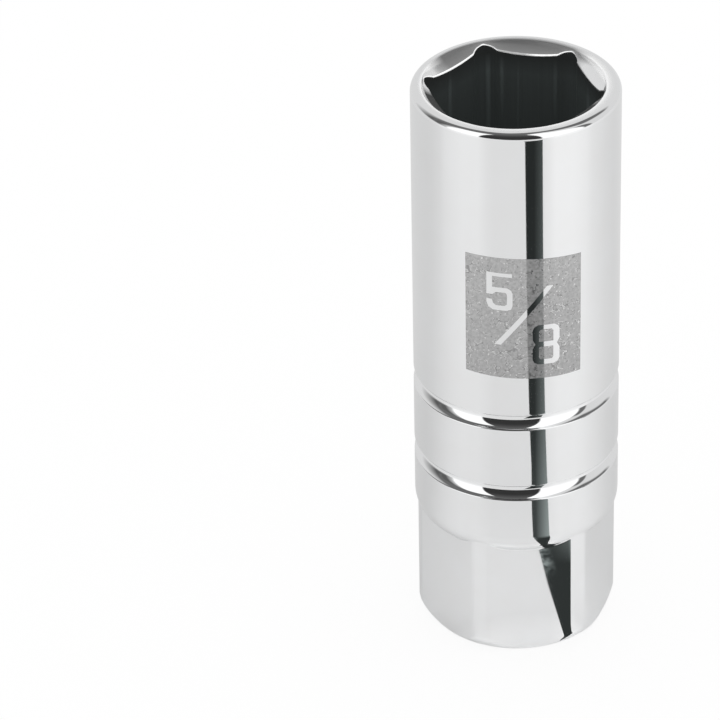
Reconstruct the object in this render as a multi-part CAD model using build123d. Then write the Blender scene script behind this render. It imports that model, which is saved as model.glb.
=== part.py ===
from build123d import *
import os
from math import radians, sqrt, tan

# A deep spark plug socket: one turned, forged and broached steel body with a moulded rubber
# sleeve inside it that holds the plug by its insulator.
# Millimetres, +Z along the axis towards the mouth, origin at the centre of the drive end face.
# Two flats of the wrench hexagon and two sides of the drive square face -Y and +Y.

# Turned outside
overall_length = 63.5
barrel_diameter = 21.5
rim_rounding = 0.75

# Two decorative grooves round the barrel, by the height of their upper lips.
# A quarter round runs in from the upper lip, and a round of twice its radius runs out to the lower one.
groove_tops = (21.9, 30.55)
groove_depth = 0.75
groove_lip_rounding = 0.12

# Wrench hexagon at the drive end, for a 3/4 inch spanner
wrench_hex = 18.95
wrench_corner_diameter = 20.72
end_circle_diameter = 17.9
end_rounding_height = 1.75
end_rounding_radius = 4.1
shoulder_height = 15.3
shoulder_radius = 2.8

# Square hole for a 3/8 inch drive, with a dimple in each wall for the drive's sprung ball
drive_square = 9.525
drive_clearance = 0.125
drive_corner_rounding = 0.5
drive_lead_in_overshoot = 0.3
drive_lead_in_slope = 45.0
dimple_height = 5.6
dimple_width = 3.2
dimple_depth = 0.9

# Mouth: broached hexagon for a 5/8 inch plug, relieved at its corners and countersunk
plug_hex = 15.875
plug_clearance = 0.125
mouth_hex_depth = 20.0
mouth_hex_turn = -19.0
corner_relief_radius = 1.2
corner_relief_overshoot = 0.03
countersink_outset = 0.16
countersink_slope = 40.0

# Bores below the hexagon: one for the rubber sleeve, and a smaller one for the plug's terminal
sleeve_bore_diameter = 15.6
terminal_bore_diameter = 13.6
terminal_bore_floor = 13.6
drill_point_slope = 31.0

# Rubber grip sleeve, held by a bead in a groove of its bore
sleeve_length = 16.0
sleeve_below_hex = 1.0
sleeve_clearance = 0.03
insulator_grip_diameter = 9.8
sleeve_funnel_diameter = 13.4
sleeve_funnel_depth = 2.6
sleeve_edge_rounding = 0.5
sleeve_tail_chamfer = 0.6
bead_height = 0.55
bead_width = 3.0
bead_below_top = 5.0
flute_count = 6
flute_width = 0.9
flute_depth = 1.1

# What follows from the sizes above
overlap = 1.0
barrel_radius = barrel_diameter / 2
mouth_hex = plug_hex + plug_clearance
mouth_corner_radius = mouth_hex / sqrt(3)
mouth_hex_floor = overall_length - mouth_hex_depth
countersink_radius = mouth_corner_radius + countersink_outset
drive_opening = drive_square + drive_clearance
drive_corner_radius = drive_opening / sqrt(2)
drive_lead_in_radius = drive_corner_radius + drive_lead_in_overshoot
sleeve_top = mouth_hex_floor - sleeve_below_hex
sleeve_seat = sleeve_top - sleeve_length
sleeve_bore_radius = sleeve_bore_diameter / 2
bead_middle = sleeve_top - bead_below_top


def turned(points_and_arcs):
    """Solid of revolution about Z from a closed outline drawn in the XZ plane."""
    return revolve(Plane.XZ * make_face(points_and_arcs), Axis.Z)


def cone_at(height, radius, slope, upwards):
    """Cone that is widest at a height and closes at a slope in degrees, with a short stub behind it."""
    tip = height + (1 if upwards else -1) * radius * tan(radians(slope))
    back = height - (1 if upwards else -1) * overlap
    outline = Polyline((0, back), (radius, back), (radius, height), (0, tip), close=True)
    return turned(outline)


def barrel():
    """Turned body from the foot of the rounded shoulder up to the mouth."""
    neck_radius = wrench_hex / 2 - overlap / 2
    inward = barrel_radius - neck_radius
    neck_height = shoulder_height - sqrt(shoulder_radius**2 - (shoulder_radius - inward) ** 2)
    shoulder = RadiusArc((neck_radius, neck_height), (barrel_radius, shoulder_height), -shoulder_radius)
    side = Line((barrel_radius, shoulder_height), (barrel_radius, overall_length - rim_rounding))
    rim = TangentArc(
        (barrel_radius, overall_length - rim_rounding),
        (barrel_radius - rim_rounding, overall_length),
        tangent=(0, 1),
    )
    top = Polyline((barrel_radius - rim_rounding, overall_length), (0, overall_length), (0, neck_height))
    foot = Line((0, neck_height), (neck_radius, neck_height))
    return turned([shoulder, side, rim, top, foot])


def groove_cut(top):
    """Ring that cuts one groove, from the height of its upper lip."""
    outer = barrel_radius + overlap
    valley = (barrel_radius - groove_depth, top - groove_depth)
    bottom = top - groove_depth * (1 + sqrt(3))
    upper = RadiusArc((barrel_radius, top), valley, -groove_depth)
    lower = RadiusArc(valley, (barrel_radius, bottom), -2 * groove_depth)
    mouth = Polyline((barrel_radius, bottom), (outer, bottom), (outer, top), (barrel_radius, top))
    return turned([upper, lower, mouth])


def cut_grooves(solid):
    """Grooves with softened lips."""
    for top in groove_tops:
        solid -= groove_cut(top)
    lip_heights = [top - drop for top in groove_tops for drop in (0, groove_depth * (1 + sqrt(3)))]
    lips = [
        edge
        for edge in solid.edges().filter_by(GeomType.CIRCLE)
        for lip in lip_heights
        if abs(edge.radius - barrel_radius) < 1e-4 and abs(edge.arc_center.Z - lip) < 1e-4
    ]
    return fillet(lips, groove_lip_rounding)


def wrench_end():
    """Hexagon at the drive end, its corners turned to a cylinder and its end rounded off."""
    corner_radius = wrench_corner_diameter / 2
    end_radius = end_circle_diameter / 2
    up_to_bend = Line((0, 0), (end_radius, 0))
    bend = RadiusArc((end_radius, 0), (corner_radius, end_rounding_height), -end_rounding_radius)
    rest = Polyline(
        (corner_radius, end_rounding_height), (corner_radius, shoulder_height), (0, shoulder_height), (0, 0)
    )
    blank = turned([up_to_bend, bend, rest])
    hexagon = RegularPolygon(wrench_hex / 2, 6, major_radius=False)
    return blank & extrude(hexagon, shoulder_height)


def mouth_cut():
    """Broached hexagon with round reliefs at its corners, and the countersink over it."""
    outline = RegularPolygon(mouth_corner_radius, 6)
    reach = mouth_corner_radius + corner_relief_overshoot - corner_relief_radius
    reliefs = PolarLocations(reach, 6) * Circle(corner_relief_radius)
    broach = extrude(outline + reliefs, mouth_hex_depth + overlap)
    broach = Pos(0, 0, mouth_hex_floor) * Rot(0, 0, mouth_hex_turn) * broach
    return broach + cone_at(overall_length, countersink_radius, countersink_slope, upwards=False)


def bores_cut():
    """Bores for the sleeve and the plug's terminal, the drill point, and the groove that holds the sleeve."""
    sleeve_bore = Pos(0, 0, sleeve_seat) * extrude(
        Circle(sleeve_bore_radius), mouth_hex_floor - sleeve_seat + overlap)
    terminal_bore = Pos(0, 0, terminal_bore_floor) * extrude(
        Circle(terminal_bore_diameter / 2), sleeve_seat - terminal_bore_floor + overlap)
    drill_point = cone_at(terminal_bore_floor, terminal_bore_diameter / 2, drill_point_slope, upwards=False)
    groove_radius = sleeve_bore_radius + bead_height
    groove = Pos(0, 0, bead_middle) * Cylinder(groove_radius, bead_width + 2 * sleeve_clearance)
    return sleeve_bore + terminal_bore + drill_point + groove


def drive_cut():
    """Square hole through to the bore, with its lead-in and a dimple in each wall."""
    square = RectangleRounded(drive_opening, drive_opening, drive_corner_rounding)
    hole = Pos(0, 0, -overlap) * extrude(square, terminal_bore_floor + overlap)
    lead_in = cone_at(0, drive_lead_in_radius, drive_lead_in_slope, upwards=True)
    ball_radius = ((dimple_width / 2) ** 2 + dimple_depth**2) / (2 * dimple_depth)
    ball_reach = drive_opening / 2 + dimple_depth - ball_radius
    ball = Rot(0, 90, 0) * Sphere(ball_radius)
    dimples = [Pos(0, 0, dimple_height) * wall * ball for wall in PolarLocations(ball_reach, 4)]
    return hole + lead_in + dimples


def socket_body():
    """The whole steel socket, which is one piece."""
    body = cut_grooves(barrel()) + wrench_end()
    return body - mouth_cut() - bores_cut() - drive_cut()


def grip_sleeve():
    """Moulded rubber sleeve: funnel, fluted grip bore and a retaining bead."""
    outer = sleeve_bore_radius - sleeve_clearance
    grip = insulator_grip_diameter / 2
    funnel = sleeve_funnel_diameter / 2
    outline = Polyline(
        (grip, sleeve_seat + sleeve_tail_chamfer),
        (grip + sleeve_tail_chamfer, sleeve_seat),
        (outer, sleeve_seat),
        (outer, sleeve_top),
        (funnel, sleeve_top),
        (grip, sleeve_top - sleeve_funnel_depth),
        close=True,
    )
    sleeve = turned(outline)
    top_rim = sleeve.edges().filter_by(GeomType.CIRCLE).sort_by_distance((outer, 0, sleeve_top))[0]
    sleeve = fillet(top_rim, sleeve_edge_rounding)
    bead_radius = outer + bead_height
    bead = Pos(0, 0, bead_middle) * (Cylinder(bead_radius, bead_width) - Cylinder(outer - overlap, bead_width))
    bead_edges = [e for e in bead.edges().filter_by(GeomType.CIRCLE) if abs(e.radius - bead_radius) < 1e-4]
    sleeve += fillet(bead_edges, bead_height / 2)
    flute = Pos(grip, 0, sleeve_seat + sleeve_length / 2) * Box(2 * flute_depth, flute_width, sleeve_length + overlap)
    for turn in range(flute_count):
        sleeve -= Rot(0, 0, turn * 360 / flute_count) * flute
    return sleeve


os.makedirs("parts", exist_ok=True)
export_step(socket_body(), "parts/socket_body.step")
export_step(grip_sleeve(), "parts/grip_sleeve.step")
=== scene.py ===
import math

import bmesh
import bpy
from mathutils import Matrix, Vector


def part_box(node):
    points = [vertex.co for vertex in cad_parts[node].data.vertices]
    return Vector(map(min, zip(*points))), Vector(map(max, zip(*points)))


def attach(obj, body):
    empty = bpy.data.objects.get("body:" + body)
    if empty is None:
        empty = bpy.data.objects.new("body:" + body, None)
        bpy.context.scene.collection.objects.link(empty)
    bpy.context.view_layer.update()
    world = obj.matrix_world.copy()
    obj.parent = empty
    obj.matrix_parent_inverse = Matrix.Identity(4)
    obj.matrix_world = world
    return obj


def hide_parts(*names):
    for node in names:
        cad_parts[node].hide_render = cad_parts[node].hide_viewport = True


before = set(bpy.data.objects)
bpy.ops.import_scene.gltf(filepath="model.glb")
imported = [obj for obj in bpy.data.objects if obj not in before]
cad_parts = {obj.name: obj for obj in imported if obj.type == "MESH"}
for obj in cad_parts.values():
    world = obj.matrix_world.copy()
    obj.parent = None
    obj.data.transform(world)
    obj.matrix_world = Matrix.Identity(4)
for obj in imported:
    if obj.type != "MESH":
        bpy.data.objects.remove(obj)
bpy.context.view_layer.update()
body_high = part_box("socket_body")[1]
sleeve_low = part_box("grip_sleeve")[0]

# Lengths are millimetres and angles degrees until they reach a mesh, which is in metres.
# Directions round the socket are counted from its front, -Y, towards +X.
MM = 0.001
LENGTH = body_high.z / MM
BARREL_RADIUS = body_high.x / MM
SLEEVE_SEAT = sleeve_low.z / MM

# Points round each ring, and the short step beside a bend that keeps the face next to it flat
TURN_STEPS = 540
GUARD = 0.04

# Mouth, which lies a little to the left of the axis as the camera sees it
MOUTH_ASIDE = 0.2
RIM_ROUNDING = 0.75
HEX_FLAT = 8.0
HEX_FLOOR = LENGTH - 20.0
HEX_FRONT_FLAT = 101.0
RELIEF_RADIUS = 1.45
RELIEF_REACH = 9.25
RELIEF_BLEND = 0.05
MOUTH_EDGE = 0.3

# Countersink: its depth grows with the root of the way in from its outer edge
SINK_RADIUS = 9.4
SINK_DEPTH = 0.92
SINK_SOFTNESS = 0.03
SINK_BLEND = 0.06
SINK_OVERRUN = 0.09
SINK_LEAST = 0.12
SINK_CREST = 0.7
SINK_FADE = 0.15

# Stretches of the mouth that differ in painted shade and painted highlight, by their middle, half width and
# fade
BACK = (177, 46, 16)
FRONT = (-17, 74, 10)
FRONT_EDGE = (-17, 78, 8)
RIGHT_EDGE = (90, 34, 10)
BACK_EDGE = (172, 9, 9)

# Grooves, by the heights at which their upper lips begin and their valleys lie
GROOVES = ((30.52, 29.83), (21.87, 21.18))
GROOVE_DEPTH = 0.82
GROOVE_LOWER_ROUND = 1.3
UPPER_LIP = 0.28
LOWER_LIP = 0.12

# Shoulder and wrench hexagon
SHOULDER_HEIGHT = 15.3
SHOULDER_RADIUS = 2.8
CREASE = 0.15
CORNER_RADIUS = 10.46
CORNER_EDGE = 0.13
WRENCH_FLAT = 9.475
END_RADIUS = 8.95
END_HEIGHT = 1.75
END_ARC = 4.1

# Drive square and bores
SQUARE_HALF = 4.825
SQUARE_ROUNDING = 0.5
LEAD_IN_RADIUS = 7.123
DIMPLE_HEIGHT = 5.6
DIMPLE_WIDTH = 3.2
DIMPLE_DEPTH = 0.9
TERMINAL_RADIUS = 6.8
TERMINAL_FLOOR = 13.6
DRILL_SLOPE = 31.0
SLEEVE_BORE = 7.8
HIDDEN_STEP = 0.05

# Camera, by the photograph's own numbers: the axis stands at one of its columns
PICTURE = 720
CAMERA_SIDE = -9.0
CAMERA_OUT = 443.5
CAMERA_UP = 306.08
CAMERA_DIP = 31.19182
CAMERA_ROLL = -0.08021
FOCAL_PIXELS = 4984.0
AXIS_COLUMN = 516.06
HORIZON_ROW = 302.55
SENSOR = 36.0

# Zones of the plating's finish, kept as a vector on each point; they carry painted shade and a painted
# highlight
OUTSIDE = Vector((0, 0, 0))
# Dull broached bore darkened with painted shade; also laid on the front of the countersink and of the mouth's
# edge as painted shade
BORE_FINISH_AND_SHADE = Vector((1, 0, 0))
# Painted shade on the back of the countersink
SINK_SHADE = Vector((0, 1, 0))
# Painted highlight along the mouth's edge and over the countersink's crest
LIP_HIGHLIGHT = Vector((0, 0, 1))

# Outputs of Light Path
CAMERA_RAY = 0
MIRRORED_RAY = 3


class Number:
    """A number on its way through a finish's nodes. Sums on it add Math nodes."""

    def __init__(self, finish, out):
        self.finish = finish
        self.out = out

    def maths(self, operation, *others, clamp=False):
        values = {0: self, **{i + 1: other for i, other in enumerate(others)}}
        return self.finish.node("ShaderNodeMath", {"operation": operation, "use_clamp": clamp}, values)

    def __add__(self, other):
        return self.maths("ADD", other)

    def __radd__(self, other):
        return self.maths("ADD", other)

    def __mul__(self, other):
        return self.maths("MULTIPLY", other)

    def __rmul__(self, other):
        return self.maths("MULTIPLY", other)

    def __sub__(self, other):
        return self.maths("SUBTRACT", other)

    def __rsub__(self, other):
        return (self * -1.0) + other

    def ramp(self, low, high):
        """0 at low, 1 at high, straight between."""
        return ((self - low) * (1.0 / (high - low))).maths("ADD", 0.0, clamp=True)

    def band(self, low, risen, falling, high):
        """0 up to low, 1 from risen to falling, and 0 again from high on."""
        return self.ramp(low, risen) * (1.0 - self.ramp(falling, high))

    def angle_over(self, other):
        """The angle in degrees whose tangent is this number over another."""
        return self.maths("ARCTAN2", other) * math.degrees(1.0)


class Finish:
    """A material or the world, with one method that adds any node."""

    def __init__(self, owner):
        self.owner = owner
        owner.use_nodes = True
        self.tree = owner.node_tree
        self.tree.nodes.clear()

    def node(self, kind, settings=None, values=None, output=0):
        made = self.tree.nodes.new(kind)
        for name, setting in (settings or {}).items():
            setattr(made, name, setting)
        for socket, value in (values or {}).items():
            if isinstance(value, Number):
                self.tree.links.new(value.out, made.inputs[socket])
            else:
                made.inputs[socket].default_value = value
        return Number(self, made.outputs[output]) if made.outputs else None

    def mix(self, factor, first, second):
        """Colour that goes from first to second."""
        colours = {0: factor, 6: first, 7: second}
        return self.node("ShaderNodeMix", {"data_type": "RGBA"}, colours, output=2)

    def place(self, scale=(1.0, 1.0, 1.0)):
        """Object coordinates in millimetres, stretched."""
        spot = self.node("ShaderNodeTexCoord", output=3)
        scale_mm = tuple(s / MM for s in scale)
        return self.node("ShaderNodeMapping", {"vector_type": "POINT"}, {0: spot, 3: scale_mm})

    def noise(self, place, scale, detail=2.0, roughness=0.5):
        values = {"Vector": place, "Scale": scale, "Detail": detail, "Roughness": roughness}
        return self.node("ShaderNodeTexNoise", {"noise_dimensions": "3D"}, values)

    def parts(self, place):
        """X, Y and Z of a vector."""
        split = self.node("ShaderNodeSeparateXYZ", None, {0: place})
        return [Number(self, out) for out in split.out.node.outputs]

    def bump(self, height, distance_mm, strength):
        values = {"Height": height, "Distance": distance_mm * MM, "Strength": strength}
        return self.node("ShaderNodeBump", None, values)

    def rays(self, kind):
        """1 on the rays of one kind and 0 on the others."""
        return self.node("ShaderNodeLightPath", output=kind)

    def surface(self, shader):
        self.node("ShaderNodeOutputMaterial", None, {0: shader})
        return self.owner


def grey(value, tint=(1.0, 1.0, 1.0)):
    return (value * tint[0], value * tint[1], value * tint[2], 1.0)


def chrome_finish():
    """Polished plating outside, duller on the countersink and on the walls inside; the walls inside and the
    countersink carry painted shade, the mouth's edge a painted highlight and the mouth's walls a painted
    glow.
    """
    finish = Finish(bpy.data.materials.new("chrome"))
    place = finish.place()
    height_mm = finish.parts(place)[2]
    inside, sink, lip_highlight = finish.parts(finish.node("ShaderNodeAttribute", {"attribute_name": "zone"}, output=1))
    cloud = finish.noise(place, 0.35)
    lap = finish.noise(finish.place((0.2, 0.2, 6.0)), 1.0, 3.0)
    broach = finish.noise(finish.place((5.0, 5.0, 0.05)), 1.0, 3.0)
    score = finish.noise(finish.place((0.9, 0.9, 0.03)), 1.0, 1.0).ramp(0.6, 0.72)
    outer = finish.mix(cloud, grey(0.84), grey(0.87, (0.99, 1.0, 1.01)))
    # Walls inside: broached steel with real scoring, darkened far below the plating's own colour as painted
    # shade
    inner = finish.mix(broach, grey(0.05, (0.84, 1.0, 0.99)), grey(0.08, (0.86, 1.0, 1.0)))
    inner = finish.mix(score * 0.6, inner, grey(0.2, (0.86, 1.0, 1.0)))
    # Painted shade: almost black at the top of the mouth, where the countersink's front and the mouth's edge
    # take the bore's finish
    inner = finish.mix(height_mm.ramp(LENGTH - 3.2, LENGTH - 1.2), inner, grey(0.015))
    # Painted shade: the back of the countersink is darkened
    outer = finish.mix(sink * 0.9, outer, grey(0.115))
    # Painted highlight: the lip is white and partly diffuse
    colour = finish.mix(lip_highlight, finish.mix(inside, outer, inner), grey(1.0))
    # Painted light: the mouth's walls glow a little, fading out further down the bore
    mouth = inside * height_mm.ramp(HEX_FLOOR - 8.5, HEX_FLOOR + 0.5)
    painted_bore_glow = finish.mix(mouth, grey(0.0), grey(0.011, (0.88, 1.0, 0.98)))
    roughness = 0.035 + cloud * 0.02 + inside * (0.35 + broach * 0.2) + sink * 0.3 + lip_highlight * 0.5
    height = lap * (1.0 - inside) * 0.02 + broach * inside
    shader = finish.node("ShaderNodeBsdfPrincipled", None, {
        "Base Color": colour,
        "Metallic": 1.0 - inside * 0.5 - lip_highlight - sink * 0.75,
        # Painted highlight: the lip glows grey; the mouth's walls show the painted glow
        "Emission Color": finish.mix(lip_highlight.ramp(0.3, 1.0), painted_bore_glow, grey(0.3)),
        "Emission Strength": 1.0,
        "Roughness": roughness,
        "Normal": finish.bump(height, 0.01, 0.6),
    })
    return finish.surface(shader)


def etched_finish():
    """Size mark: the plating bitten matt, with the grain of the etch still glinting."""
    finish = Finish(bpy.data.materials.new("etched_chrome"))
    place = finish.place()
    grain = finish.noise(place, 3.0, 4.0, 0.6)
    curl = finish.noise(place, 1.15, 1.5)
    patch = finish.noise(place, 1.1, 1.0).ramp(0.46, 0.56)
    fleck = finish.noise(place, 3.6, 1.0)
    furrow = curl.band(0.455, 0.475, 0.483, 0.503) * patch
    ridge = curl.band(0.497, 0.515, 0.523, 0.541) * patch
    matt = finish.mix(grain.ramp(0.36, 0.64), grey(0.24), grey(0.38))
    matt = finish.mix(finish.parts(place)[2].ramp(50, 35) * 0.3, matt, grey(0.12))
    pits = (furrow + (1.0 - fleck.ramp(0.27, 0.32))).maths("MINIMUM", 1.0)
    frost = finish.node("ShaderNodeBsdfPrincipled", None, {
        "Base Color": finish.mix(pits, matt, grey(0.1)),
        "Roughness": 0.5,
        "Normal": finish.bump(grain, 0.05, 0.6),
    })
    glint = finish.node("ShaderNodeBsdfPrincipled", None, {
        "Base Color": grey(0.82),
        "Metallic": 1.0,
        "Roughness": 0.06,
    })
    share = 0.24 + ridge * 0.4 + fleck.ramp(0.68, 0.73) * 0.6
    return finish.surface(finish.node("ShaderNodeMixShader", None, {0: share, 1: frost, 2: glint}))


def rubber_finish():
    """Moulded black rubber with a faint bloom."""
    finish = Finish(bpy.data.materials.new("black_rubber"))
    place = finish.place()
    bloom = finish.noise(place, 0.5, 4.0)
    grain = finish.noise(place, 6.0, 3.0)
    shader = finish.node("ShaderNodeBsdfPrincipled", None, {
        "Base Color": finish.mix(bloom, grey(0.018), grey(0.04)),
        "Roughness": 0.5 + grain * 0.25,
        "Normal": finish.bump(grain, 0.05, 0.4),
    })
    return finish.surface(shader)


def fold(angle, middle, share):
    """How far an angle is from the nearest of the directions that repeat every share, in radians."""
    share = math.radians(share)
    turned = angle - math.radians(middle)
    return (turned + share / 2) % share - share / 2


def soft_min(a, b, blend):
    """The lower of two values, with the corner between them rounded."""
    near = max(blend - abs(a - b), 0.0) / blend
    return min(a, b) - near * near * blend / 4


def soft_max(a, b, blend):
    return -soft_min(-a, -b, blend)


def mouth_outline(angle):
    """Radius of the broached hexagon with its round corner reliefs."""
    from_flat = fold(angle, HEX_FRONT_FLAT, 60)
    flat = HEX_FLAT / math.cos(from_flat)
    from_corner = fold(angle, HEX_FRONT_FLAT + 30, 60)
    middle = RELIEF_REACH - RELIEF_RADIUS
    beside = middle * math.sin(from_corner)
    if abs(beside) >= RELIEF_RADIUS:
        return flat
    relief = middle * math.cos(from_corner) + math.sqrt(RELIEF_RADIUS**2 - beside**2)
    return soft_max(flat, relief, RELIEF_BLEND)


def square_outline(angle):
    """Radius of the drive square with rounded corners."""
    from_side = abs(fold(angle, 0, 90))
    side = SQUARE_HALF / math.cos(from_side)
    middle = (SQUARE_HALF - SQUARE_ROUNDING) * math.sqrt(2)
    beside = middle * math.sin(math.pi / 4 - from_side)
    if beside >= SQUARE_ROUNDING:
        return side
    corner = middle * math.cos(math.pi / 4 - from_side) + math.sqrt(SQUARE_ROUNDING**2 - beside**2)
    return min(side, corner)


def top_height(radius):
    """Height of the countersink, which is steepest at its outer edge, and outside it of the flat rim."""
    inward = SINK_RADIUS - radius
    fall = SINK_DEPTH * (math.sqrt(max(inward, 0.0) + SINK_SOFTNESS) - math.sqrt(SINK_SOFTNESS))
    return LENGTH - soft_max(0.0, fall + min(inward, 0.0), SINK_BLEND)


def mouth_edge_turn(angle):
    """How far the rounding at the top of the hexagon's wall turns, in radians."""
    run_out = SINK_RADIUS - mouth_outline(angle) - MOUTH_EDGE * 0.4
    share = min(max(run_out / SINK_FADE + 0.5, 0.0), 1.0)
    slope = math.atan2(SINK_DEPTH / 2, math.sqrt(max(run_out, 0.0) + SINK_SOFTNESS))
    return math.pi / 2 - slope * share


def mouth_edge_reach(angle):
    """Radius at which the rounding ends and the countersink or rim begins."""
    return mouth_outline(angle) + MOUTH_EDGE * (1 - math.cos(mouth_edge_turn(angle)))


def near(angle, middle, reach, fade):
    """1 within reach degrees of a direction, and 0 from fade degrees further off."""
    off = abs(math.degrees(fold(angle, middle, 360)))
    return min(max((reach + fade - off) / fade, 0.0), 1.0)


def lip_highlight_zone(angle):
    """The edge of the mouth, with a painted highlight round its back and left side, weaker at the right and
    at the very back, and the bore's painted shade at its front.
    """
    shown = (1.0 - 0.9 * near(angle, *RIGHT_EDGE)) * (1.0 - 0.5 * near(angle, *BACK_EDGE))
    return LIP_HIGHLIGHT.lerp(BORE_FINISH_AND_SHADE, near(angle, *FRONT_EDGE)) * shown


def mouth_rings():
    """Rings and their zones: up the hexagon's wall, over its rounded edge and out over the countersink."""

    def wall(height):
        return lambda angle: (mouth_outline(angle), height)

    def wall_top(below):
        def ring(angle):
            end = top_height(mouth_edge_reach(angle)) - MOUTH_EDGE * math.sin(mouth_edge_turn(angle))
            return mouth_outline(angle), end - below
        return ring

    def edge(share):
        def ring(angle):
            turn = mouth_edge_turn(angle)
            end = top_height(mouth_edge_reach(angle))
            radius = mouth_outline(angle) + MOUTH_EDGE * (1 - math.cos(turn * share))
            return radius, end - MOUTH_EDGE * (math.sin(turn) - math.sin(turn * share))
        return ring

    def sink(share):
        def ring(angle):
            start = mouth_edge_reach(angle)
            outer = max(SINK_RADIUS + SINK_OVERRUN, start + SINK_LEAST)
            radius = start + (outer - start) * share
            return radius, top_height(radius)
        return ring

    def sink_shade_and_highlight(share):
        def zone(angle):
            # Painted shade on the countersink's back, the bore's painted shade on its front, and a painted
            # highlight over its crest and faintly inside it
            back = near(angle, *BACK)
            front = near(angle, *FRONT)
            if share > SINK_CREST:
                return SINK_SHADE * back + LIP_HIGHLIGHT * 0.5 * (1 - back)
            return SINK_SHADE * back + BORE_FINISH_AND_SHADE * front + LIP_HIGHLIGHT * 0.1 * (1 - share) * (1 - front)
        return zone

    walls = [wall(HEX_FLOOR), wall(HEX_FLOOR + GUARD), wall_top(2.0), wall_top(2 * GUARD)]
    edge_zones = [BORE_FINISH_AND_SHADE] * 2 + [lip_highlight_zone] * 4 + [sink_shade_and_highlight(0.0)] * 2
    sink_shares = (0.04, 0.3, 0.6, 0.76, 0.84, 0.9, 0.96, 1.0)
    rings = [(BORE_FINISH_AND_SHADE, ring) for ring in walls]
    rings += [(zone, edge(i / (len(edge_zones) - 1))) for i, zone in enumerate(edge_zones)]
    return rings + [(sink_shade_and_highlight(share), sink(share)) for share in sink_shares]


def turned(radius, height):
    return lambda angle: (radius, height)


def arc_points(centre, radius, start, end, steps):
    """Points of an arc in the section, by its angles in degrees from straight outwards."""
    angles = [math.radians(start + (end - start) * i / steps) for i in range(steps + 1)]
    return [(centre[0] + radius * math.cos(a), centre[1] + radius * math.sin(a)) for a in angles]


def groove_points(top, valley):
    """One groove from its upper lip down: round lip, corner, and a slow round out to the lower lip."""
    inner = BARREL_RADIUS - GROOVE_DEPTH
    corner = top - UPPER_LIP - valley
    out = GROOVE_LOWER_ROUND - GROOVE_DEPTH + LOWER_LIP
    fall = math.sqrt((GROOVE_LOWER_ROUND + LOWER_LIP) ** 2 - out**2)
    turn = math.degrees(math.atan2(fall, out))
    points = arc_points((BARREL_RADIUS - UPPER_LIP, top), UPPER_LIP, 0, -90, 8)
    points += arc_points((inner + corner, valley), corner, 90, 180, 6)
    points += arc_points((inner + GROOVE_LOWER_ROUND, valley), GROOVE_LOWER_ROUND, 180, 180 + turn, 14)[1:]
    points += arc_points((BARREL_RADIUS - LOWER_LIP, valley - fall), LOWER_LIP, turn, 0, 5)[1:]
    return points


def barrel_points():
    """The turned outside, from the flat rim down to the top of the shoulder."""
    rim_centre = (BARREL_RADIUS - RIM_ROUNDING, LENGTH - RIM_ROUNDING)
    points = [(rim_centre[0] - GUARD, LENGTH)]
    points += arc_points(rim_centre, RIM_ROUNDING, 90, 0, 16)
    points += [(BARREL_RADIUS, LENGTH - RIM_ROUNDING - GUARD)]
    for top, valley in GROOVES:
        groove = groove_points(top, valley)
        points += [(BARREL_RADIUS, groove[0][1] + GUARD)]
        points += groove
        points += [(BARREL_RADIUS, groove[-1][1] - GUARD)]
    points += [(BARREL_RADIUS, SHOULDER_HEIGHT + GUARD)]
    return points


def wrench_radius(angle, turned_radius):
    """Radius of the wrench hexagon, cut from a turned blank."""
    flat = WRENCH_FLAT / math.cos(fold(angle, 0, 60))
    return soft_min(turned_radius, flat, CORNER_EDGE)


def shoulder_turn(angle):
    """How far the shoulder's arc turns before it meets the hexagon, in radians."""
    inward = BARREL_RADIUS - SHOULDER_RADIUS
    return math.acos((wrench_radius(angle, CORNER_RADIUS) - inward) / SHOULDER_RADIUS)


def on_shoulder(turn):
    """Point of the shoulder's arc in the section."""
    radius = BARREL_RADIUS - SHOULDER_RADIUS + SHOULDER_RADIUS * math.cos(turn)
    return radius, SHOULDER_HEIGHT - SHOULDER_RADIUS * math.sin(turn)


def end_rounding():
    """Points of the arc that rounds off the drive end, from the hexagon's corners in to the end face."""
    chord = math.hypot(CORNER_RADIUS - END_RADIUS, END_HEIGHT)
    inward = math.sqrt(END_ARC**2 - chord**2 / 4) / chord
    centre = (
        (CORNER_RADIUS + END_RADIUS) / 2 - END_HEIGHT * inward,
        END_HEIGHT / 2 + (CORNER_RADIUS - END_RADIUS) * inward,
    )
    start = math.degrees(math.atan2(END_HEIGHT - centre[1], CORNER_RADIUS - centre[0]))
    stop = math.degrees(math.atan2(-centre[1], END_RADIUS - centre[0]))
    return arc_points(centre, END_ARC, start - 1, stop + 1, 14)


def wrench_rings():
    """From the top of the shoulder round its arc and down the wrench hexagon to the end face."""
    crease_turn = CREASE / SHOULDER_RADIUS

    def shoulder(share):
        return lambda angle: on_shoulder(share * (shoulder_turn(angle) - crease_turn))

    def crease(share):
        def ring(angle):
            before = on_shoulder(shoulder_turn(angle) - crease_turn)
            corner = on_shoulder(shoulder_turn(angle))
            after = (corner[0], corner[1] - CREASE)
            weights = ((1 - share) ** 2, 2 * share * (1 - share), share**2)
            return tuple(sum(w * p[i] for w, p in zip(weights, (before, corner, after))) for i in range(2))
        return ring

    def under_crease(angle):
        radius, height = on_shoulder(shoulder_turn(angle))
        return radius, height - CREASE - GUARD

    def wall(height):
        return lambda angle: (wrench_radius(angle, CORNER_RADIUS), height)

    def end(point):
        return lambda angle: (wrench_radius(angle, point[0]), point[1])

    rings = [shoulder(i / 12) for i in range(13)]
    rings += [crease(i / 5) for i in range(1, 6)] + [under_crease]
    rings += [wall(END_HEIGHT + above) for above in (0.25, 0.07)]
    rings += [end(point) for point in end_rounding()]
    rings += [end((END_RADIUS - 0.06, 0.0)), turned(END_RADIUS - 0.12, 0.0)]
    return rings


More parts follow.
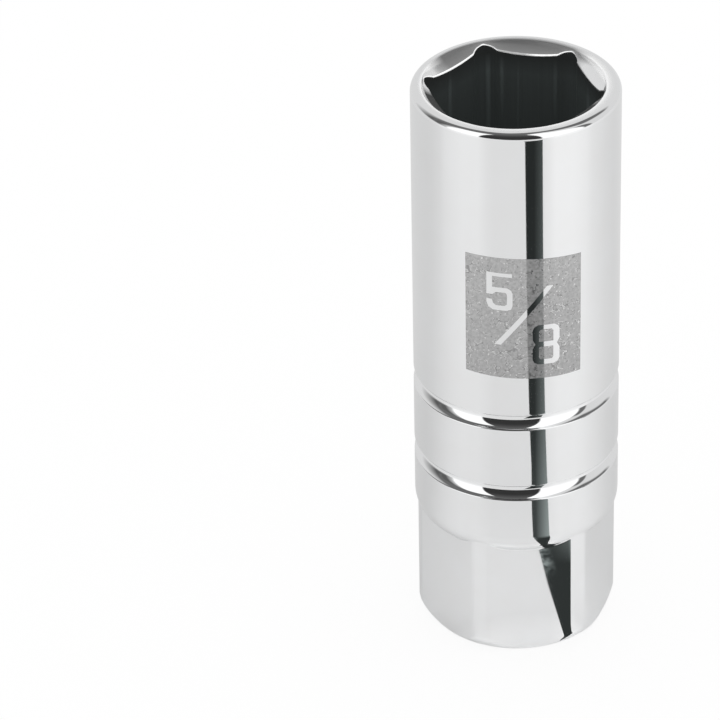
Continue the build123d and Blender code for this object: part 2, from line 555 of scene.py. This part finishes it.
def dimple_depth(angle, height):
    """How deep the ball's dimple is sunk in the wall of the drive square."""
    across = SQUARE_HALF * math.tan(fold(angle, 0, 90))
    ball = ((DIMPLE_WIDTH / 2) ** 2 + DIMPLE_DEPTH**2) / (2 * DIMPLE_DEPTH)
    inside = ball**2 - across**2 - (height - DIMPLE_HEIGHT) ** 2
    if inside <= 0:
        return 0.0
    return max(0.0, math.sqrt(inside) - (ball - DIMPLE_DEPTH))


def drive_rings():
    """From the end face up the drive square's lead-in and walls to the drill point and bores."""

    def lead_in(radius):
        def ring(angle):
            outward = max(radius, square_outline(angle) + HIDDEN_STEP)
            return outward, LEAD_IN_RADIUS - outward
        return ring

    def foot(angle):
        outline = square_outline(angle)
        return outline, LEAD_IN_RADIUS - outline + 0.06

    def wall(height):
        def ring(angle):
            return square_outline(angle) + dimple_depth(angle, height), height
        return ring

    def drill(beyond):
        def ring(angle):
            outline = square_outline(angle)
            rise = (TERMINAL_RADIUS - outline) * math.tan(math.radians(DRILL_SLOPE))
            return outline + beyond, TERMINAL_FLOOR - rise - 0.04 + 2 * beyond
        return ring

    low = DIMPLE_HEIGHT - DIMPLE_WIDTH / 2
    dimple = [low - 0.1 + (DIMPLE_WIDTH + 0.2) * i / 13 for i in range(14)]
    rings = [turned(LEAD_IN_RADIUS + HIDDEN_STEP, 0.0), turned(LEAD_IN_RADIUS - 0.03, 0.04)]
    rings += [lead_in(5.5), lead_in(0.0), foot]
    rings += [wall(height) for height in dimple]
    rings += [drill(0.0), drill(0.03)]
    rings += [turned(TERMINAL_RADIUS, TERMINAL_FLOOR + 0.02), turned(TERMINAL_RADIUS, SLEEVE_SEAT)]
    rings += [turned(TERMINAL_RADIUS + HIDDEN_STEP, SLEEVE_SEAT), turned(SLEEVE_BORE, SLEEVE_SEAT)]
    rings += [turned(SLEEVE_BORE, SLEEVE_SEAT + HIDDEN_STEP), turned(SLEEVE_BORE, HEX_FLOOR - HIDDEN_STEP)]
    rings += [turned(SLEEVE_BORE + HIDDEN_STEP, HEX_FLOOR)]
    return rings


def spun_skin(name, rings):
    """Closed skin round the axis: a line of points is spun, then each ring takes its own outline."""
    mesh = bmesh.new()
    ring_number = mesh.verts.layers.int.new("ring")
    zone = mesh.verts.layers.float_vector.new("zone")
    line = [mesh.verts.new((1.0, 0.0, float(-i))) for i in range(len(rings))]
    for i, vertex in enumerate(line):
        vertex[ring_number] = i
    edges = [mesh.edges.new(pair) for pair in zip(line, line[1:] + line[:1])]
    bmesh.ops.spin(
        mesh, geom=line + edges, cent=(0, 0, 0), axis=(0, 0, 1), dvec=(0, 0, 0),
        angle=2 * math.pi, steps=TURN_STEPS, use_merge=True,
    )
    for vertex in mesh.verts:
        angle = math.atan2(vertex.co.x, -vertex.co.y)
        centre, kind, ring = rings[vertex[ring_number]]
        radius, height = ring(angle)
        vertex.co = (centre + Vector((radius * math.sin(angle), -radius * math.cos(angle), height))) * MM
        vertex[zone] = kind(angle) if callable(kind) else kind
    bmesh.ops.recalc_face_normals(mesh, faces=mesh.faces)
    for face in mesh.faces:
        face.smooth = True
    return finished(name, mesh)


def finished(name, mesh):
    """Object at the origin that holds a mesh."""
    data = bpy.data.meshes.new(name)
    mesh.to_mesh(data)
    mesh.free()
    piece = bpy.data.objects.new(name, data)
    bpy.context.scene.collection.objects.link(piece)
    return piece


def plated_body(chrome):
    """The whole steel socket, outside and inside, as one closed skin."""
    aside = math.radians(CAMERA_SIDE)
    mouth = Vector((math.cos(aside), math.sin(aside), 0.0)) * -MOUTH_ASIDE
    axis = Vector((0, 0, 0))
    rings = [(mouth, zone, ring) for zone, ring in mouth_rings()]
    rings += [(axis, OUTSIDE, turned(*point)) for point in barrel_points()]
    rings += [(axis, OUTSIDE, ring) for ring in wrench_rings()]
    rings += [(axis, BORE_FINISH_AND_SHADE, ring) for ring in drive_rings()]
    body = spun_skin("plated_body", rings)
    body.data.materials.append(chrome)
    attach(body, "root")
    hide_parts("socket_body")
    return body


# Size mark. Its outlines are drawn flat, from its middle to the right and up.
MARK_SIDE = -4.4
MARK_HEIGHT = 42.05
MARK_SIZE = (12.43, 14.2)
MARK_SLOPE = math.tan(math.radians(-2.9))
MARK_TOP_BOW = 0.0045
MARK_FOOT_BOW = 0.002
MARK_COLUMNS = 24
MARK_STRIP = 0.2
MARK_PROUD = 0.012
FIVE_PLACE = (-2.57, 3.1)
EIGHT_PLACE = (2.27, -3.1)
FIVE = (
    (-1.35, 2.2), (1.3, 2.2), (1.3, 1.75), (-0.75, 1.75), (-0.75, 0.5), (0.8, 0.5), (1.2, 0.25), (1.35, -0.1),
    (1.35, -1.55), (1.2, -2.0), (0.75, -2.2), (-0.7, -2.2), (-1.15, -1.9), (-1.35, -1.35), (-1.35, -0.95),
    (-0.78, -0.95), (-0.65, -1.4), (-0.35, -1.62), (0.55, -1.62), (0.78, -1.4), (0.78, -0.25), (0.6, -0.08),
    (-0.35, -0.08), (-0.75, -0.4), (-1.35, -0.4),
)
EIGHT = (
    (-0.85, 2.35), (0.85, 2.35), (1.28, 2.1), (1.45, 1.7), (1.45, 0.6), (1.15, 0.05),
    (1.45, -0.5), (1.45, -1.75), (1.28, -2.12), (0.85, -2.35), (-0.85, -2.35), (-1.28, -2.12),
    (-1.45, -1.75), (-1.45, -0.5), (-1.15, 0.05), (-1.45, 0.6), (-1.45, 1.7), (-1.28, 2.1),
)
EIGHT_UPPER = ((-0.78, 0.36), (0.75, 0.36), (0.75, 1.6), (0.6, 1.8), (-0.6, 1.8), (-0.78, 1.6))
EIGHT_LOWER = ((-0.78, -0.26), (0.75, -0.26), (0.75, -1.55), (0.6, -1.75), (-0.6, -1.75), (-0.78, -1.55))
STROKE = ((-3.13, -3.2), (-2.43, -3.2), (3.03, 3.87), (2.33, 3.87))


def moved(outline, place):
    return [(x + place[0], z + place[1]) for x, z in outline]


def mark_outlines():
    """The field, bowed a little at its top and foot, and the digits of 5/8 within it."""
    half_width, half_height = MARK_SIZE[0] / 2, MARK_SIZE[1] / 2
    columns = [half_width * (2 * i / (MARK_COLUMNS - 1) - 1) for i in range(MARK_COLUMNS)]
    field = [(x, MARK_FOOT_BOW * x * x - half_height) for x in columns]
    field += [(x, half_height - MARK_TOP_BOW * x * x) for x in reversed(columns)]
    outlines = [field, STROKE, moved(FIVE, FIVE_PLACE)]
    return outlines + [moved(outline, EIGHT_PLACE) for outline in (EIGHT, EIGHT_UPPER, EIGHT_LOWER)]


def filled(outlines):
    """Flat mesh within the outlines, where an outline inside another leaves a hole."""
    curve = bpy.data.curves.new("mark_outline", "CURVE")
    curve.dimensions = "2D"
    curve.fill_mode = "BOTH"
    for outline in outlines:
        spline = curve.splines.new("POLY")
        spline.points.add(len(outline) - 1)
        for point, (x, z) in zip(spline.points, outline):
            point.co = (x, z, 0.0, 1.0)
        spline.use_cyclic_u = True
    flat = bpy.data.objects.new("mark_outline", curve)
    bpy.context.scene.collection.objects.link(flat)
    data = bpy.data.meshes.new_from_object(flat)
    bpy.data.objects.remove(flat)
    mesh = bmesh.new()
    mesh.from_mesh(data)
    bpy.data.meshes.remove(data)
    bmesh.ops.remove_doubles(mesh, verts=mesh.verts, dist=1e-5)
    return mesh


def bend_round_barrel(mesh):
    """Cuts the flat mark in upright strips and lays it on the barrel."""
    strips = math.ceil(MARK_SIZE[0] * 1.1 / MARK_STRIP)
    for i in range(-strips // 2, strips // 2 + 1):
        everything = mesh.verts[:] + mesh.edges[:] + mesh.faces[:]
        bmesh.ops.bisect_plane(mesh, geom=everything, plane_co=(i * MARK_STRIP, 0, 0), plane_no=(1, 0, 0))
    bmesh.ops.triangulate(mesh, faces=mesh.faces)
    radius = BARREL_RADIUS + MARK_PROUD
    for vertex in mesh.verts:
        angle = math.radians(MARK_SIDE) + vertex.co.x / BARREL_RADIUS
        height = MARK_HEIGHT + vertex.co.y + vertex.co.x * MARK_SLOPE
        vertex.co = Vector((radius * math.sin(angle), -radius * math.cos(angle), height)) * MM
    bmesh.ops.recalc_face_normals(mesh, faces=mesh.faces)
    if sum(face.normal.y for face in mesh.faces) > 0:
        bmesh.ops.reverse_faces(mesh, faces=mesh.faces)
    for face in mesh.faces:
        face.smooth = True


def size_mark(etched):
    """Etched field round the barrel, with the digits of 5/8 left bright in it."""
    mesh = filled(mark_outlines())
    bend_round_barrel(mesh)
    mark = finished("size_mark", mesh)
    mark.data.materials.append(etched)
    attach(mark, "root")
    return mark


def dress_sleeve(rubber):
    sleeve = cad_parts["grip_sleeve"]
    sleeve.data.materials.clear()
    sleeve.data.materials.append(rubber)
    return sleeve


# What stands round the socket: a pale floor, a white room, and a dark card that only reflections show.
# The card's corners are given by how far they lie to the right and towards the camera.
FLOOR_HALF = 3000.0
WEDGE = (
    (4.7, 8.4), (7.0, 8.4), (8.2, 12.0), (13.0, 20.0), (22.4, 37.0), (33.6, 61.0), (83.0, 160.0),
    (21.9, 160.0), (19.9, 120.0), (18.2, 100.5), (13.8, 60.1), (12.4, 46.0), (10.1, 37.5), (7.15, 20.6),
    (5.65, 10.2),
)
WEDGE_LIFT = 0.05


def from_camera_side(out, right, height):
    """A place given by how far it lies towards the camera and to its right, in metres."""
    a = math.radians(CAMERA_SIDE)
    towards = Vector((math.sin(a), -math.cos(a), 0.0))
    beside = Vector((math.cos(a), math.sin(a), 0.0))
    return (towards * out + beside * right + Vector((0, 0, height))) * MM


def card(name, corners, material):
    """A flat stage piece from its corners."""
    mesh = bmesh.new()
    mesh.faces.new([mesh.verts.new(corner) for corner in corners])
    piece = finished(name, mesh)
    piece.data.materials.append(material)
    return piece


def only_in_reflections(piece):
    piece.visible_camera = False
    piece.visible_diffuse = False
    piece.visible_shadow = False
    piece.visible_transmission = False


def seen_from_camera(x, y):
    """How far a place lies towards the camera and to its right."""
    a = math.radians(CAMERA_SIDE)
    return x * math.sin(a) + y * -math.cos(a), x * math.cos(a) + y * math.sin(a)


def floor_finish():
    """White to the camera; in reflections painted brighter or darker round the socket, with painted light
    before its foot that lifts its shadow there.
    """
    finish = Finish(bpy.data.materials.new("white_floor"))
    x, y = finish.parts(finish.place())[:2]
    towards, beside = seen_from_camera(x, y)
    side = beside.angle_over(towards)
    flank = side.maths("ABSOLUTE")
    away = (x * x + y * y).maths("SQRT")
    # Painted reflection: how bright the plating shows the floor, by the side of the room
    bright = 0.78 + side.ramp(-100, -58) * 0.115 + side.ramp(-40, -23) * -0.053
    bright = bright + side.ramp(20, 43) * 0.126 + side.ramp(62, 128) * -0.168
    # Dimmer beside and behind the socket, brighter before its foot, and brighter again far out on both sides,
    # all painted into what the plating mirrors
    bright = bright - flank.ramp(72, 110) * (1.0 - away.ramp(110, 150)) * (0.085 - away.ramp(45, 65) * 0.035)
    # Painted light near the socket and before its foot, lifting its own shadow where the plating mirrors the
    # floor
    painted_close_light = (1.0 - away.ramp(18, 40)) * (0.13 - flank.ramp(28, 50) * 0.1)
    foot = (1.0 - away.ramp(12.3, 16.5)) * 0.19 + (1.0 - away.ramp(9.5, 12.5)) * 0.1
    bright = bright * (painted_close_light + foot * side.band(-36, -22, 40, 52) + 1.0)
    bright = bright + away.ramp(60, 200) * flank.band(30, 40, 80, 88) * 0.1
    shown = finish.node("ShaderNodeCombineColor", None, {0: bright, 1: bright, 2: bright})
    colour = finish.mix(finish.rays(MIRRORED_RAY), grey(1.0), shown)
    lit = finish.node("ShaderNodeBsdfDiffuse", None, {"Color": colour})
    white = finish.node("ShaderNodeEmission", None, {"Color": grey(1.0), "Strength": 1.0})
    share = finish.rays(CAMERA_RAY) * 0.9
    return finish.surface(finish.node("ShaderNodeMixShader", None, {0: share, 1: lit, 2: white}))


def wedge_finish():
    """Dark card that the plating shows as a stripe, with a painted sheen at its right edge and a painted
    smear of light near its left edge.
    """
    finish = Finish(bpy.data.materials.new("dark_card"))
    x, y = finish.parts(finish.place())[:2]
    towards, beside = seen_from_camera(x, y)
    away = (x * x + y * y).maths("SQRT")
    across = beside.maths("DIVIDE", towards)
    # Painted sheen towards the card's right edge
    painted_sheen = (across.ramp(0.34, 0.6) * away.ramp(26, 32) * 9.5).maths("DIVIDE", away)
    # Painted light: lighter close to the socket and in a band a little further out
    level = 0.026 + 0.012 * (1.0 - away.ramp(30, 110)) + painted_sheen
    level = level + away.band(28, 34, 38, 58) * 0.025
    # Painted smear of light near the left edge, mottled
    from_left_edge = beside - towards * 0.166 - 3.9
    painted_smear = (1.0 - from_left_edge.ramp(0.1, 1.3)) * towards.band(22, 24, 29, 31)
    smear_mottle = finish.noise(finish.place((0.9, 0.9, 0.9)), 1.6, 3.0).ramp(0.4, 0.65)
    level = level + painted_smear * smear_mottle * 0.36
    shade = finish.node("ShaderNodeCombineColor", None, {0: level * 0.88, 1: level, 2: level * 0.98})
    return finish.surface(finish.node("ShaderNodeEmission", None, {"Color": shade, "Strength": 1.0}))


def white_room():
    """White all round. Reflections show it grey, with bright panels, dark posts and a dark ceiling."""
    world = bpy.data.worlds.new("white_room")
    bpy.context.scene.world = world
    finish = Finish(world)
    x, y, z = finish.parts(finish.node("ShaderNodeTexCoord", output=0))
    towards, beside = seen_from_camera(x, y)

    # Directions in degrees: round the room, over the camera from the horizon, off to the right, and up
    side = beside.angle_over(towards)
    over = z.angle_over(towards)
    aside = beside.angle_over((towards * towards + z * z).maths("SQRT"))
    rise = z.maths("ARCSINE") * math.degrees(1.0)

    # Ceiling, between its near edge over the camera and its far edge behind the socket
    left = aside * -1.0
    near_edge = 68.0 + left.ramp(12, 40) * 14.0 + left.ramp(41, 56) * 18.0 + aside.ramp(3, 12) * 29.0
    far_edge = 110.0 + aside.ramp(-2, 14) * 24.0
    above = (over - near_edge).ramp(-2.5, 2.5)
    beyond = (over - far_edge).ramp(-4, 4)
    ceiling = above * (1.0 - beyond) * aside.band(-82, -76, 37, 46)

    # Bright panels before the socket, the dark gap between them and a dark post beside each
    panels = side.band(-77, -74, 73, 76) * (1.0 - above)
    gap = side.band(-39, -37, 26, 28) * over.ramp(-1, 1) * (1.0 - beyond)
    left_post = side.band(-130, -102, -86, -74) * rise.ramp(-8, 8)
    right_post = side.band(73, 76, 83, 86) * rise.band(-6, 4, 38, 48)

    dark = gap.maths("MAXIMUM", ceiling)
    shade = 0.038 + over.ramp(38, 90).maths("POWER", 1.3) * 0.12
    level = (0.78 + panels * 0.42) * (1.0 - left_post * 0.85) * (1.0 - right_post * 0.8)
    level = level - dark * (level - shade)
    strength = 1.0 - finish.rays(MIRRORED_RAY) * (1.0 - level)
    background = finish.node("ShaderNodeBackground", None, {"Color": grey(1.0), "Strength": strength})
    finish.node("ShaderNodeOutputWorld", None, {0: background})


def stage():
    """Floor, dark card and room."""
    corners = ((-1, -1), (1, -1), (1, 1), (-1, 1))
    floor = [from_camera_side(out * FLOOR_HALF, right * FLOOR_HALF, 0.0) for out, right in corners]
    card("floor", floor, floor_finish())
    wedge = [from_camera_side(out, right, WEDGE_LIFT) for right, out in WEDGE]
    only_in_reflections(card("dark_wedge", wedge, wedge_finish()))
    white_room()


def camera():
    """A long lens where the photograph was taken from, turned so that the axis falls on its column."""
    data = bpy.data.cameras.new("camera")
    data.sensor_width = SENSOR
    data.lens = FOCAL_PIXELS / PICTURE * SENSOR
    data.clip_start = 0.01
    data.clip_end = 100.0
    eye = bpy.data.objects.new("camera", data)
    bpy.context.scene.collection.objects.link(eye)
    place = Matrix.Translation(from_camera_side(CAMERA_OUT, 0.0, CAMERA_UP))
    facing = Matrix.Rotation(math.radians(CAMERA_SIDE), 4, "Z")
    dipped = Matrix.Rotation(math.radians(90 - CAMERA_DIP), 4, "X")
    rolled = Matrix.Rotation(math.radians(CAMERA_ROLL), 4, "Z")
    middle = Vector((PICTURE / 2 - AXIS_COLUMN, HORIZON_ROW - PICTURE / 2, -FOCAL_PIXELS))
    aside = Vector((0, 0, -1)).rotation_difference(middle).to_matrix().to_4x4()
    eye.matrix_world = place @ (facing @ dipped @ rolled) @ aside
    bpy.context.scene.camera = eye


bpy.context.scene.view_settings.view_transform = "Standard"
plated_body(chrome_finish())
size_mark(etched_finish())
dress_sleeve(rubber_finish())
stage()
camera()
